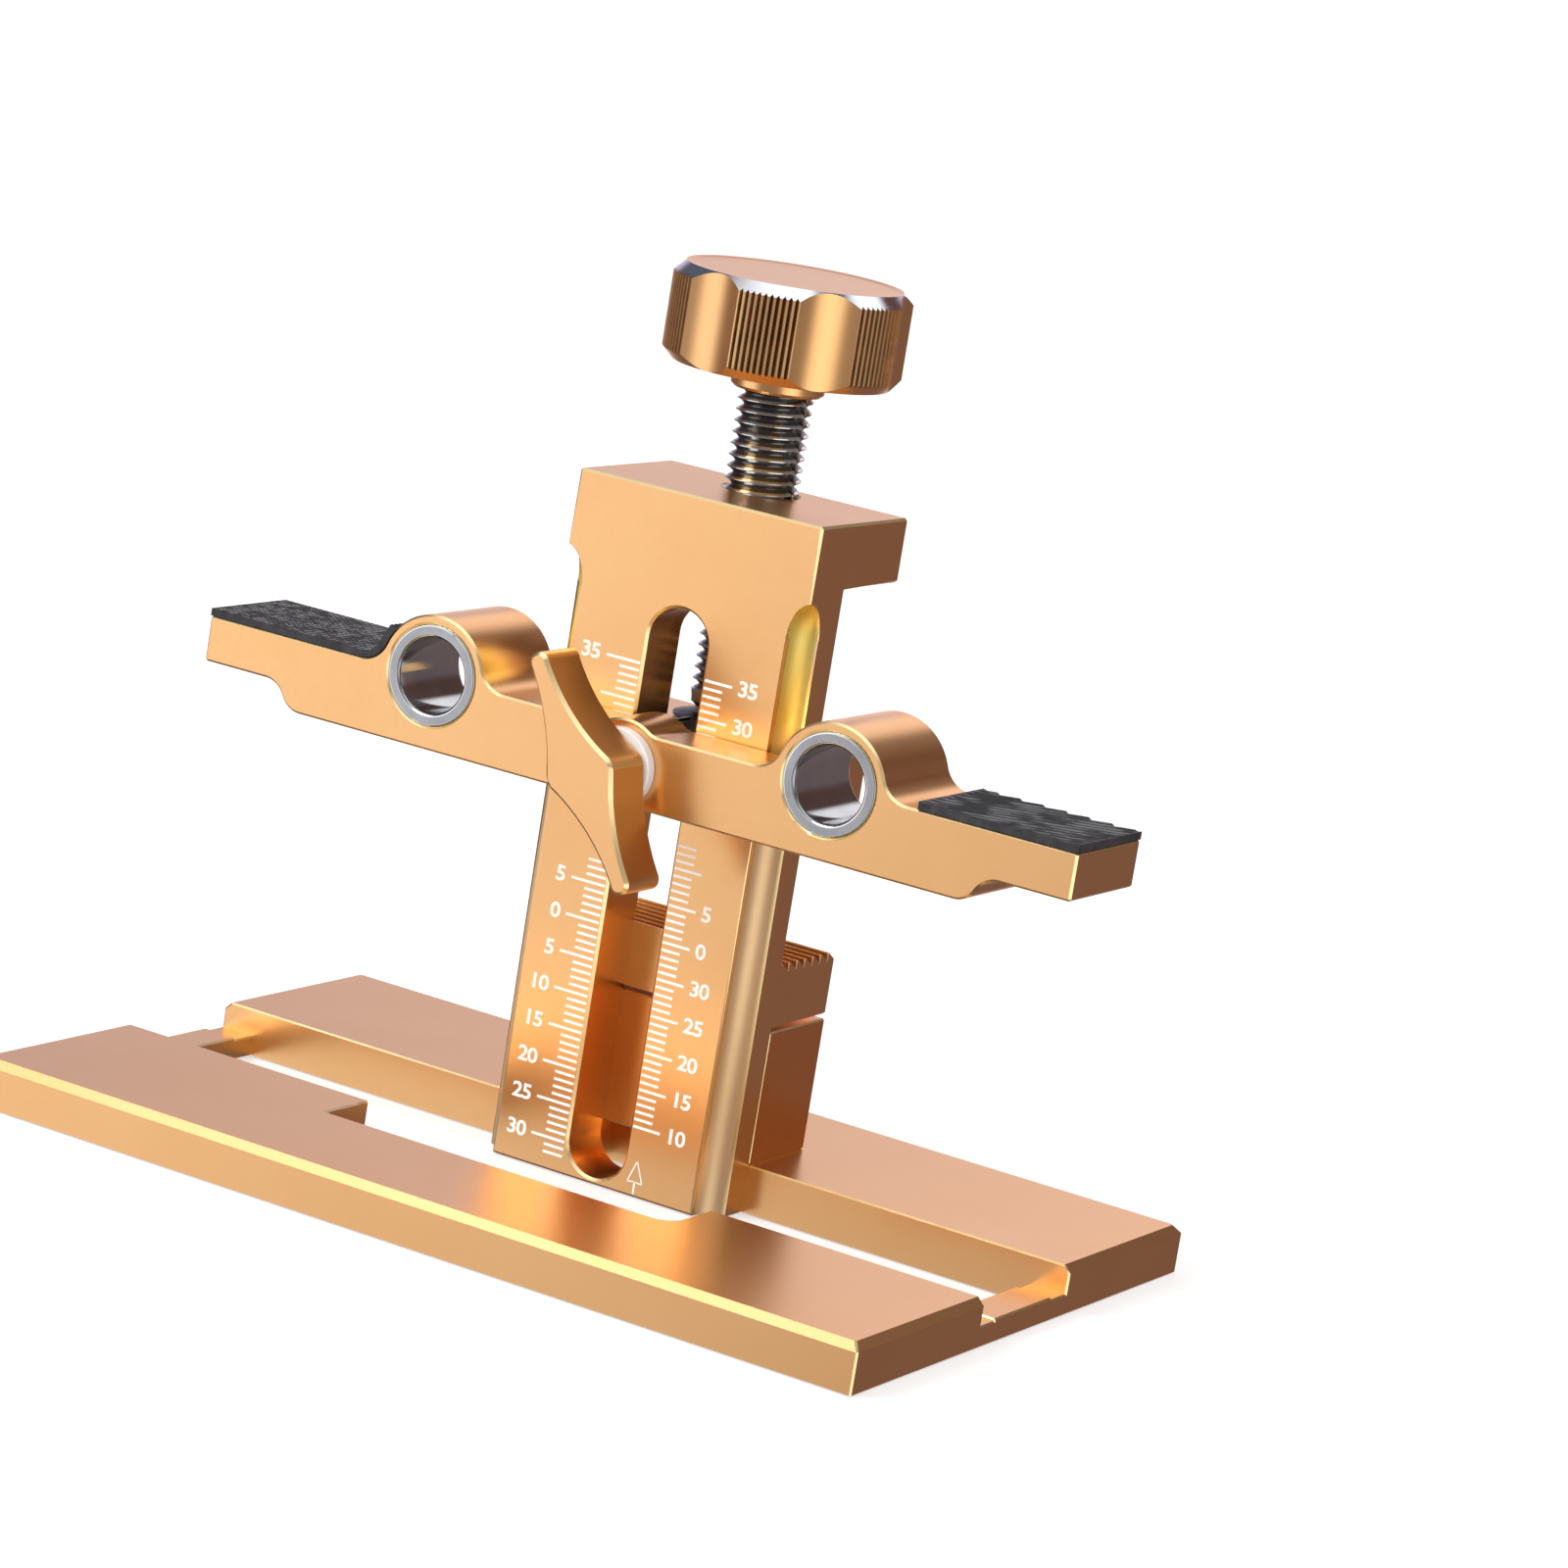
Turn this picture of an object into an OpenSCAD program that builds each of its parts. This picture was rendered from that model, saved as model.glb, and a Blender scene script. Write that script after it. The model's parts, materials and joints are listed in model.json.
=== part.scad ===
// Dowel joiner: a hand-held drilling jig for dowel holes in the edges and ends of boards.
// +X runs along the guide bar, +Y runs from the winged lever towards the clamp, +Z is up.
// The origin is the middle of the base plate's underside. All sizes are in millimetres.

/* [Base plate] */
// Length of the base plate, left to right
base_w = 133.3; // [126:0.1:160]
// Depth of the base plate, front to back
base_d = 87.9; // [80:0.1:110]
// Thickness of the base plate
base_t = 6.4; // [5:0.1:8]
// Chamfer round the top edge of the base plate
base_chamfer = 1.0; // [0.3:0.1:1.5]
// Front-to-back width of the long channel
channel_d = 23.1; // [22:0.1:26]
// Thickness left under the channel at the two ends
bridge_t = 2.7; // [2:0.1:4]
// Length of each end bridge, along X
bridge_w = 5.2; // [4:0.1:10]
// Width of the notch that lets the lever swing
notch_w = 53; // [48:0.5:60]
// Depth of the notch in front of the channel
notch_d = 10.1; // [9:0.1:12]

/* [Column] */
// Width of the column
col_w = 36.8; // [34:0.1:40]
// Thickness of the column
col_t = 8.2; // [7.5:0.1:9]
// Height of the top of the column's head
col_h = 92.4; // [90:0.1:100]
// Distance of the column's back face behind the middle of the base plate
col_back = 11.3; // [10:0.1:13]
// How far the head and the jaw reach behind the column
reach = 14.5; // [14:0.1:18]
// Height of the head
head_h = 8.6; // [7:0.1:9]
// Width of the slot in the column
slot_w = 9.0; // [8.6:0.1:10]
// Height of the slot's lower end
slot_bottom = 0.8; // [0.5:0.1:3]
// Height of the slot's upper end
slot_top = 77.7; // [76:0.1:80]
// Radius of the coves along the column's front edges
cove_r = 3.4; // [1:0.1:4]
// Height of the upper end of the coves
cove_top = 82.4; // [70:0.1:84]
// Length of the pointed upper ends of the coves
cove_tip = 5.3; // [3:0.1:8]

/* [Lower jaw and riser] */
// Height of the tips of the jaw's teeth
jaw_top = 33.8; // [30:0.1:38]
// Height of the jaw
jaw_h = 8.7; // [8:0.1:10]
// Number of teeth across the jaw
teeth = 7; // [4:1:10]
// Height of a tooth
tooth_h = 1.1; // [0.5:0.1:1.5]
// Flat left on the tip of a tooth
tooth_tip = 0.3; // [0.2:0.05:0.6]
// Gap between the riser block and the underside of the jaw
riser_gap = 0.6; // [0.3:0.1:1.5]

/* [Guide bar] */
// Length of the guide bar
bar_w = 132; // [126:0.5:150]
// Depth of the guide bar, front to back
bar_d = 17.2; // [16:0.1:18]
// Gap between the back of the bar and the plane of the column's back
bar_setback = 0.5; // [0.3:0.1:1]
// Height of the bar's flat tops, which are level with the bushings
bar_level = 62.5; // [60:0.1:64]
// Height of the middle of the bar under its flat tops
bar_h = 9.8; // [9:0.1:11]
// Height of the thin ends of the bar
wing_h = 6.2; // [5:0.1:7]
// Length over which the bar keeps its full height
bar_core_w = 100; // [90:1:105]
// Distance between the two bushings
bushing_pitch = 60.6; // [58:0.1:66]
// Outer radius of the bosses round the bushings
boss_r = 8.0; // [7.5:0.1:9]
// Radius of the fillets beside the bosses
boss_fillet = 4.0; // [2:0.1:5]
// Outer diameter of a bushing
bushing_od = 13.4; // [12.5:0.1:14]
// Length of the bushings, which stop short of the bar's back
bushing_l = 14.6; // [13:0.1:16]
// Bore of a bushing
bushing_id = 10.0; // [8:0.1:10.4]
// Thickness of the rubber pads
pad_t = 1.05; // [0.8:0.05:1.5]

/* [Lever lock] */
// Height of the lever's axis under the bar's flat tops
lever_drop = 4.9; // [4.5:0.1:5.2]
// Thickness of the lever
lever_t = 8.2; // [6:0.1:9]
// Distance from the lever's axis to the middle of each rounded tip
lever_reach = 15.0; // [12:0.1:15.5]
// Radius of the lever's tips
lever_tip_r = 1.4; // [1:0.1:2]
// Diameter of the lever's stud
stud_d = 5; // [4:0.1:5]
// Outer diameter of the nylon washer
washer_d = 10.5; // [9:0.1:11.5]

/* [Clamp] */
// Outer diameter of the clamp screw
screw_d = 10; // [8:0.1:10]
// Height of the top of the foot plate, as drawn
foot_top = 61.2; // [60:0.1:64]
// Half the width of the foot plate
foot_half = 19.2; // [15:0.1:19.4]
// Thickness of the foot plate
foot_t = 6.8; // [6:0.1:7]
// Radius of the knob
knob_r = 15.8; // [14:0.1:17]
// Height of the underside of the knob's collar, as drawn
collar_z = 105.8; // [100:0.1:110]
// Height of the knob's collar
collar_h = 2.4; // [1.5:0.1:4]
// Height of the knob's grip
grip_h = 12.8; // [10:0.1:16]
// Number of finger hollows round the knob
hollows = 6; // [5:1:8]

/* [Hidden] */
$fn = 96;
EPS = 0.01;
BIG = 200;
RUN = 0.06;                          // radial running clearance of a shaft
GAP = 0.3;                           // clearance between faces that slide past each other

// where the faces lie
base_front = -base_d / 2;
channel_y = col_back - channel_d;
col_front = col_back - col_t;
reach_y = col_back + reach;
slot_half = base_w / 2 - bridge_w;   // half length of the long slot under the channel
jaw_bottom = jaw_top - jaw_h;
riser_top = jaw_bottom - riser_gap;
head_z = col_h - head_h;
bar_back = col_back - bar_setback;
bar_front = bar_back - bar_d;
wall_back = col_front - 0.2;         // back of the bar's front wall
bush_x = bushing_pitch / 2;
lever_z = bar_level - lever_drop;
washer_t = 1.65;
washer_front = bar_front - washer_t;
lever_back = washer_front - GAP;
lever_front = lever_back - lever_t;
stud_r = stud_d / 2;
screw_r = screw_d / 2;
axis_y = col_back + reach / 2;       // the clamp screw's axis
grip_z = collar_z + collar_h;
knob_top = grip_z + grip_h;

// fastenings
fix_x = 12;                          // half spacing of the screws that hold the column
fix_z = 15.5;
fix_r = 2;
fix_head_r = 3.5;
fix_head_h = 4;
fix_seat = reach_y - fix_head_h - 0.4;  // where the heads bear, inside the riser
under_x = 11;                        // half spacing of the screws under the base plate
under_r = 2.5;
under_head_r = 4.6;
under_head_h = 2.4;

GOLD = "#e8b070";
GOLD_DARK = "#c98d50";
STEEL = "#b9bec4";
DARK_STEEL = "#6d7177";
RUBBER = "#2b2b2d";
NYLON = "#eceae4";

// points on a circle from angle a0 to angle a1, leaving out those before the one numbered first
function arc(c, r, a0, a1, n = 16, first = 0) =
    [for (i = [first:n]) c + r * [cos(a0 + (a1 - a0) * i / n), sin(a0 + (a1 - a0) * i / n)]];

// points on the arc from p to q whose middle is pushed off the chord by sag, to the left of p->q
function bow(p, q, sag, n = 12) =
    let (chord = norm(q - p), along = (q - p) / chord, left = [-along[1], along[0]],
         r = (chord * chord / 4 + sag * sag) / (2 * sag), c = (p + q) / 2 - (r - sag) * left,
         half = asin(chord / 2 / r), mid = atan2(left[1], left[0]))
    arc(c, r, mid + half, mid - half, n);

// a cylinder along +Y, starting at y0
module rod(x, y0, z, r, len) {
    translate([x, y0, z]) rotate([-90, 0, 0]) cylinder(h = len, r = r);
}

// a disc or a rod with a chamfer at each end, along +Z from 0
module chamfered_rod(r, len, c) {
    rotate_extrude()
        polygon([[0, 0], [r - c, 0], [r, c], [r, len - c], [r - c, len], [0, len]]);
}

// a plate's end view with its two top corners chamfered, standing on 0
module chamfered_end(w, h, c) {
    polygon([[-w / 2, 0], [w / 2, 0], [w / 2, h - c], [w / 2 - c, h], [c - w / 2, h], [-w / 2, h - c]]);
}

module base_blank() {
    intersection() {
        rotate([90, 0, 0]) linear_extrude(base_d, center = true)
            chamfered_end(base_w, base_t, base_chamfer);
        rotate([90, 0, 90]) linear_extrude(base_w, center = true)
            chamfered_end(base_d, base_t, base_chamfer);
    }
}

module base_plate() {
    groove_front = 3.6;
    groove_back = 4.1;
    strip = 0.35;                    // height of the raised strip on each end bridge
    notch_r = 3;
    relief_w = 14;                   // notch behind the column's slot
    relief_d = 4.4;
    color(GOLD) difference() {
        base_blank();
        translate([-relief_w / 2, col_back - 1, -1]) cube([relief_w, relief_d + 1, base_t + 2]);
        // the long slot, right through
        translate([-slot_half, channel_y, -1]) cube([2 * slot_half, channel_d, base_t + 2]);
        // the channel, open at both ends, with a shallow groove along each side
        translate([-BIG / 2, channel_y, bridge_t + strip]) cube([BIG, channel_d, base_t]);
        translate([-BIG / 2, channel_y, bridge_t]) cube([BIG, groove_front, base_t]);
        translate([-BIG / 2, col_back - groove_back, bridge_t]) cube([BIG, groove_back, base_t]);
        // the notch for the lever, with one rounded inner corner
        translate([0, channel_y - notch_d, -1]) linear_extrude(base_t + 2) {
            translate([-notch_w / 2, 0]) square([notch_w - notch_r, notch_d + 1]);
            translate([-notch_w / 2, notch_r]) square([notch_w, notch_d + 1 - notch_r]);
            translate([notch_w / 2 - notch_r, notch_r]) circle(notch_r);
        }
        // countersunk holes from below
        for (sx = [-1, 1]) translate([sx * under_x, axis_y, 0]) {
            translate([0, 0, -1]) cylinder(h = base_t + 2, r = under_r + 0.1);
            translate([0, 0, -EPS])
                cylinder(h = under_head_h + EPS, r1 = under_head_r + 0.1, r2 = under_r + 0.1);
        }
    }
}

module riser_block() {
    color(GOLD) difference() {
        translate([-col_w / 2, col_back, base_t]) cube([col_w, reach, riser_top - base_t]);
        for (sx = [-1, 1]) {
            rod(sx * fix_x, col_back - 1, fix_z, fix_r + 0.1, reach + 2);
            rod(sx * fix_x, fix_seat, fix_z, fix_head_r + 0.15, fix_head_h + 1);
            translate([sx * under_x, axis_y, base_t - 1]) cylinder(h = 8, r = under_r);
        }
    }
}

module base_screws() {
    hex_r = 1.7;
    len = base_t + 6;
    color(DARK_STEEL) for (sx = [-1, 1]) translate([sx * under_x, axis_y, 0]) difference() {
        union() {
            translate([0, 0, 0.1]) cylinder(h = under_head_h, r1 = under_head_r, r2 = under_r);
            translate([0, 0, 0.1]) cylinder(h = len, r = under_r - 0.02);
        }
        translate([0, 0, -1]) cylinder(h = 2.8, r = hex_r, $fn = 6);
    }
}

module riser_screws() {
    hex_r = 1.75;
    color(DARK_STEEL) for (sx = [-1, 1]) difference() {
        union() {
            rod(sx * fix_x, fix_seat, fix_z, fix_head_r, fix_head_h);
            rod(sx * fix_x, col_back - 6, fix_z, fix_r - 0.02, fix_seat - col_back + 6 + EPS);
        }
        translate([sx * fix_x, reach_y - 2.6, fix_z]) rotate([-90, 0, 0])
            cylinder(h = 4, r = hex_r, $fn = 6);
    }
}

// side view of the column with its head and its toothed jaw, as [y, z]
module column_side() {
    pitch = reach / teeth;
    root = jaw_top - tooth_h;
    foot_cut = 0.3;
    polygon(concat(
        [[col_front + foot_cut, 0], [col_front, foot_cut], [col_front, col_h], [reach_y, col_h],
         [reach_y, head_z], [col_back, head_z], [col_back, jaw_top]],
        [for (i = [0:teeth - 1]) each [
            [col_back + i * pitch + tooth_tip, jaw_top],
            [col_back + (i + 1) * pitch, root],
            if (i < teeth - 1) [col_back + (i + 1) * pitch, jaw_top]]],
        [[reach_y, jaw_bottom], [col_back, jaw_bottom], [col_back, foot_cut], [col_back - foot_cut, 0]]));
}

// a round-ended slot, standing in the XZ plane and cut along +Y
module upright_slot(w, z0, z1, y0, len) {
    translate([0, y0 + len, 0]) rotate([90, 0, 0]) linear_extrude(len) {
        translate([-w / 2, z0 + w / 2]) square([w, z1 - z0 - w]);
        translate([0, z0 + w / 2]) circle(w / 2);
        translate([0, z1 - w / 2]) circle(w / 2);
    }
}

// the pointed end of a cove's cutter: a quarter of an ellipse, as [radius, z]
function cove_tip_line(n = 10) =
    [for (i = [0:n]) [cove_r * cos(90 * i / n), cove_top - cove_tip * (1 - sin(90 * i / n))]];

module column() {
    cove_in = 0.6;                   // how far the cove's centre lies outside the column's side
    cove_back = 0.3;
    color(GOLD) difference() {
        translate([-col_w / 2, 0, 0]) rotate([90, 0, 90]) linear_extrude(col_w) column_side();
        upright_slot(slot_w, slot_bottom, slot_top, col_front - 1, col_t + 1 + EPS);
        for (sx = [-1, 1]) {
            // coves along the two front edges, each pointed at the top
            translate([sx * (col_w / 2 + cove_in), col_front + cove_back, 0]) rotate_extrude()
                polygon(concat([[0, -1], [cove_r, -1]], cove_tip_line()));
            rod(sx * fix_x, col_back - 6.4, fix_z, fix_r, 8);
        }
        // threaded hole for the clamp screw
        translate([0, axis_y, head_z - 1]) cylinder(h = head_h + 2, r = screw_r + RUN);
    }
}

// the top line of a round boss on the bar, with its centre at x, drop below the flats, left to right
function boss_line(x, drop, r, fillet) =
    let (up = drop + fillet, side = sqrt(pow(r + fillet, 2) - up * up), lean = asin(up / (r + fillet)))
    concat(
        arc([x - side, bar_level + fillet], fillet, -90, -lean, 12),
        arc([x, bar_level - drop], r, 180 - lean, lean, 32, 1),
        arc([x + side, bar_level + fillet], fillet, 180 + lean, 270, 12, 1));

// one end of the bar's lower edge, from the tip inwards: an S of two equal arcs
function bar_end_line(run) =
    let (rise = bar_h - wing_h, r = (run * run + rise * rise) / (4 * rise), turn = 2 * atan(rise / run),
         x0 = bar_core_w / 2, z0 = bar_level - bar_h)
    concat(
        [[bar_w / 2, bar_level], [bar_w / 2, z0 + rise]],
        arc([x0 + run, z0 + rise - r], r, 90, 90 + turn, 12),
        arc([x0, z0 + r], r, -90 + turn, -90, 12, 1));

// the bar's front view: the right half, then the same points mirrored
module bar_outline() {
    hub_r = 6.3;
    hub_fillet = 3;
    half = concat(
        [for (p = boss_line(0, lever_drop, hub_r, hub_fillet)) if (p[0] > EPS) p],
        boss_line(bush_x, 0, boss_r, boss_fillet),
        bar_end_line(6));
    polygon(concat(half, [for (i = [len(half) - 1:-1:0]) [-half[i][0], half[i][1]]]));
}

module guide_bar() {
    channel_w = col_w + 0.5;
    screw_hole_r = 1.5;
    color(GOLD) difference() {
        translate([0, bar_back, 0]) rotate([90, 0, 0]) linear_extrude(bar_d) bar_outline();
        // the channel that straddles the column
        translate([-channel_w / 2, wall_back, 0]) cube([channel_w, BIG, BIG]);
        rod(0, bar_front - 1, lever_z, stud_r + RUN, bar_d);
        for (sx = [-1, 1]) {
            rod(sx * bush_x, bar_front - 1, bar_level, bushing_od / 2 + 0.02, bar_d + 2);
            translate([sx * bush_x, (bar_front + bar_back) / 2, 0])
                cylinder(h = bar_level - bushing_od / 2 + 0.5, r = screw_hole_r);
        }
    }
}

module bushing(sx) {
    mouth = 0.35;
    rim = 0.15;
    in_r = bushing_id / 2;
    out_r = bushing_od / 2;
    color(STEEL) translate([sx * bush_x, bar_front, bar_level]) rotate([-90, 0, 0]) difference() {
        chamfered_rod(out_r, bushing_l, rim);
        translate([0, 0, -1]) cylinder(h = bushing_l + 2, r = in_r);
        translate([0, 0, -EPS]) cylinder(h = mouth + EPS, r1 = in_r + mouth, r2 = in_r);
        translate([0, 0, bushing_l - mouth]) cylinder(h = mouth + EPS, r1 = in_r, r2 = in_r + mouth);
    }
}

module left_bushing() bushing(-1);
module right_bushing() bushing(1);

module bushing_screws() {
    z0 = bar_level - bar_h + 0.3;
    len = bar_level - bushing_od / 2 - z0 - 0.05;
    color(DARK_STEEL) for (sx = [-1, 1])
        translate([sx * bush_x, (bar_front + bar_back) / 2, z0]) difference() {
            cylinder(h = len, r = 1.48);
            translate([0, 0, -1]) cylinder(h = 2.2, r = 0.85, $fn = 6);
        }
}

// a pie slice of the plane from angle a0 to angle a1, about the origin
module slice(a0, a1) {
    polygon(concat([[0, 0]], arc([0, 0], 30, a0, a1, 4)));
}

// left pad: flat on the bar's end, then up the fillet and a little way round the boss
module left_pad() {
    side = sqrt(pow(boss_r + boss_fillet, 2) - boss_fillet * boss_fillet);
    lean = asin(boss_fillet / (boss_r + boss_fillet));
    wrap = 16;
    color(RUBBER) translate([0, bar_back, 0]) rotate([90, 0, 0]) linear_extrude(bar_d) {
        translate([-bar_w / 2, bar_level]) square([bar_w / 2 - bush_x - side, pad_t]);
        translate([-bush_x - side, bar_level + boss_fillet]) intersection() {
            difference() {
                circle(boss_fillet);
                circle(boss_fillet - pad_t);
            }
            slice(-90, -lean);
        }
        translate([-bush_x, bar_level]) intersection() {
            difference() {
                circle(boss_r + pad_t);
                circle(boss_r);
            }
            slice(180 - lean, 180 - lean - wrap);
        }
    }
}

module right_pad() {
    pad_start = 43.2;
    color(RUBBER) translate([pad_start, bar_front, bar_level])
        cube([bar_w / 2 - pad_start, bar_d, pad_t]);
}

module washer() {
    color(NYLON) difference() {
        rod(0, washer_front, lever_z, washer_d / 2, washer_t - EPS);
        rod(0, washer_front - 1, lever_z, stud_r + 0.2, washer_t + 2);
    }
}

// split key that slides in the column's slot and is spread by the cone nut behind it
module slot_key() {
    key_w = slot_w - 0.4;
    key_h = 10;
    split_w = 1.1;
    seat = 2.6;
    depth = col_back - 0.6 - wall_back;
    color(DARK_STEEL) difference() {
        upright_slot(key_w, lever_z - key_h / 2, lever_z + key_h / 2, wall_back, depth);
        rod(0, wall_back - 1, lever_z, stud_r + RUN, depth + 2);
        translate([0, wall_back + depth - seat, lever_z]) rotate([-90, 0, 0])
            cylinder(h = seat + EPS, r1 = stud_r + 0.5, r2 = key_w / 2 - 0.3);
        translate([-split_w / 2, wall_back + 2, 0]) cube([split_w, depth, BIG]);
    }
}

module cone_nut() {
    nut_len = 1.7;
    nut_y = col_back - 0.6 - nut_len - 0.4;
    color(STEEL) difference() {
        union() {
            translate([0, nut_y, lever_z]) rotate([-90, 0, 0])
                cylinder(h = nut_len, r1 = stud_r + 0.5, r2 = slot_w / 2 - 1.0);
            translate([-0.25, nut_y, lever_z - 4.2]) cube([0.5, nut_len, 8.4]);
        }
        rod(0, nut_y - 1, lever_z, stud_r + RUN, nut_len + 2);
    }
}

// the lever's outline about its axis, the same after half a turn
module lever_outline() {
    tip = lever_reach * [-0.553, 0.833];
    corner = [3.9, 2.9];             // end of the long hollow edge
    flat_top = [4.7, 2.0];
    flat_end = [5.3, -1.5];
    // one half of the way round: tip, long hollow edge, flat, shorter hollow edge
    half = concat(
        arc(tip, lever_tip_r, 205, 28, 10),
        bow(tip + lever_tip_r * [cos(15), sin(15)], corner, -1.0),
        [flat_top],
        bow(flat_end, -tip + lever_tip_r * [cos(25), sin(25)], -0.5));
    polygon(concat(half, -half));
}

module wing_lever() {
    color(GOLD) difference() {
        translate([0, lever_back, lever_z]) rotate([90, 0, 0]) linear_extrude(lever_t) lever_outline();
        rod(0, lever_back - 5, lever_z, stud_r, 6);
    }
}

module lever_stud() {
    color(STEEL) rod(0, lever_back - 5, lever_z, stud_r, col_back - 0.8 - lever_back + 5);
}

// the clamp screw: threaded part, then a thin neck down through the foot
module clamp_screw() {
    thread_z = foot_top + 1.6;
    neck_r = 3;
    neck_z = foot_top - foot_t + 0.5;
    color(STEEL) union() {
        translate([0, axis_y, thread_z]) chamfered_rod(screw_r, grip_z + 8 - thread_z, 0.7);
        translate([0, axis_y, neck_z]) cylinder(h = thread_z - neck_z + 1, r = neck_r);
    }
}

module clamp_knob() {
    top_c = 1.5;
    low_c = 1.4;
    hollow_r = 9.9;
    hollow_at = 24.3 + knob_r - 15.8;
    collar_r = 6.2;
    first_hollow = -41.5;            // direction of the first hollow
    color(GOLD) translate([0, axis_y, 0]) difference() {
        union() {
            translate([0, 0, collar_z]) chamfered_rod(collar_r, collar_h + 1, 0.4);
            rotate_extrude() polygon([
                [0, grip_z], [knob_r - low_c, grip_z], [knob_r, grip_z + low_c],
                [knob_r, knob_top - top_c], [knob_r - top_c, knob_top], [0, knob_top]]);
        }
        for (i = [0:hollows - 1]) rotate(first_hollow + i * 360 / hollows)
            translate([hollow_at, 0, grip_z - 1]) cylinder(h = grip_h + 2, r = hollow_r);
        translate([0, 0, collar_z - 1]) cylinder(h = grip_z + 8.1 - collar_z + 1, r = screw_r + 0.02);
        rod(0, screw_r - 1, grip_z + 5, 1.6, knob_r);
    }
}

module knob_screw() {
    color(DARK_STEEL) difference() {
        rod(0, axis_y + screw_r + 0.05, grip_z + 5, 1.58, 7);
        translate([0, axis_y + screw_r + 5.5, grip_z + 5]) rotate([-90, 0, 0])
            cylinder(h = 4, r = 0.9, $fn = 6);
    }
}

// plan of the foot plate, with its two rear corners rounded
module foot_plan() {
    corner_r = 2.5;
    front = col_back + 0.4;
    back = reach_y - 0.3;
    translate([-foot_half, front]) square([2 * foot_half, back - front - corner_r]);
    translate([corner_r - foot_half, front]) square([2 * (foot_half - corner_r), back - front]);
    for (sx = [-1, 1]) translate([sx * (foot_half - corner_r), back - corner_r]) circle(corner_r);
}

module foot_plate() {
    clip_r = 5.2;
    color(GOLD_DARK) difference() {
        translate([0, 0, foot_top - foot_t]) linear_extrude(foot_t) foot_plan();
        translate([0, axis_y, foot_top - foot_t - 1]) {
            cylinder(h = foot_t + 2, r = 3 + RUN);
            cylinder(h = 1 + 1.5, r = clip_r);
        }
    }
}

// steel thrust disc between the screw's shoulder and the foot plate, thin at its rim
module foot_disc() {
    rim_r = 6.85;
    t = 1.25;
    color(STEEL) translate([0, axis_y, foot_top]) rotate_extrude()
        polygon([[3 + RUN, 0], [rim_r - 1.2, 0], [rim_r, 0.45], [rim_r, 0.6], [4.6, t], [3 + RUN, t]]);
}

module foot_clip() {
    color(DARK_STEEL) translate([0, axis_y, foot_top - foot_t + 0.6]) difference() {
        cylinder(h = 0.8, r = 4.6);
        translate([0, 0, -1]) cylinder(h = 3, r = 3 + RUN);
    }
}

base_plate();
riser_block();
base_screws();
riser_screws();
column();
guide_bar();
left_bushing();
right_bushing();
bushing_screws();
left_pad();
right_pad();
washer();
slot_key();
cone_nut();
wing_lever();
lever_stud();
clamp_screw();
clamp_knob();
knob_screw();
foot_plate();
foot_disc();
foot_clip();
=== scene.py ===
"""Looks of the dowel joiner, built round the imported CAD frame.

Everything is in metres in the CAD frame: +X along the guide bar, +Y from the lever towards the clamp,
+Z up, with the origin in the middle of the base plate's underside.
"""
import json
import math

import bmesh
import bpy
from mathutils import Matrix, Vector


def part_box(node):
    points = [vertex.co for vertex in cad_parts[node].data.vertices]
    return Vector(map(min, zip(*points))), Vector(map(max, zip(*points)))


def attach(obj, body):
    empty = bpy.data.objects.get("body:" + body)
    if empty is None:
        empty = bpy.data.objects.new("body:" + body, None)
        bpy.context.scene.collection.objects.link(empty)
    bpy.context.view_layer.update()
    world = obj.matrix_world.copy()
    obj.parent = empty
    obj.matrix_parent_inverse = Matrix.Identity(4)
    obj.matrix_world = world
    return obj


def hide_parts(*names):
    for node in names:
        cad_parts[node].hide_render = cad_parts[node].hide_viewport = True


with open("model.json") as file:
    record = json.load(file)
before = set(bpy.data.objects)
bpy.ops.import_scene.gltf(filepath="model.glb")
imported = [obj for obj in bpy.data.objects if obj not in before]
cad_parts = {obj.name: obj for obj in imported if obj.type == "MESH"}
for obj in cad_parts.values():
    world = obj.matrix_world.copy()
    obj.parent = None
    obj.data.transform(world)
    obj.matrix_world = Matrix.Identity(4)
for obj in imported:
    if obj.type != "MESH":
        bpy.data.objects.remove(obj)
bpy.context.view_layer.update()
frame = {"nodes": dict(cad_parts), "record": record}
NODES = frame["nodes"]
MM = 0.001
WEAVE = 0.95                          # pitch of the left pad's weave, mm
RIDGE_PITCH = 1.6                     # pitch of the right pad's ridges, mm
RIDGE_SLANT = math.radians(29)        # angle between the ridges and the bar
RIDGE_CREST = 0.8                     # where the crest is, as a part of the pitch
HOLLOWS, FIRST_HOLLOW = 6, -41.5      # finger hollows round the knob, and the first one's angle
RIDGE_GROOVES = 10                    # grooves on each knurled ridge between two hollows


# ---------------------------------------------------------------- camera

def make_camera():
    """Long lens from the front right, a little above the object, rolled as the picture is."""
    azimuth, elevation, roll = (math.radians(a) for a in (28.495, 11.34, -9.346))
    back = Vector((math.sin(azimuth) * math.cos(elevation),
                   -math.cos(azimuth) * math.cos(elevation), math.sin(elevation)))
    level_right = (-back).cross(Vector((0, 0, 1))).normalized()
    level_up = level_right.cross(-back)
    right = level_right * math.cos(roll) - level_up * math.sin(roll)
    up = level_right * math.sin(roll) + level_up * math.cos(roll)
    data = bpy.data.cameras.new("camera")
    data.sensor_width = 36
    data.lens = 127.8
    data.clip_start = 0.01
    cam = bpy.data.objects.new("camera", data)
    turn = Matrix((right, up, back)).transposed().to_4x4()
    cam.matrix_world = Matrix.Translation((0.3518, -0.61025, 0.1989)) @ turn
    bpy.context.scene.collection.objects.link(cam)
    bpy.context.scene.camera = cam


make_camera()


# ---------------------------------------------------------------- materials

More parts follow.
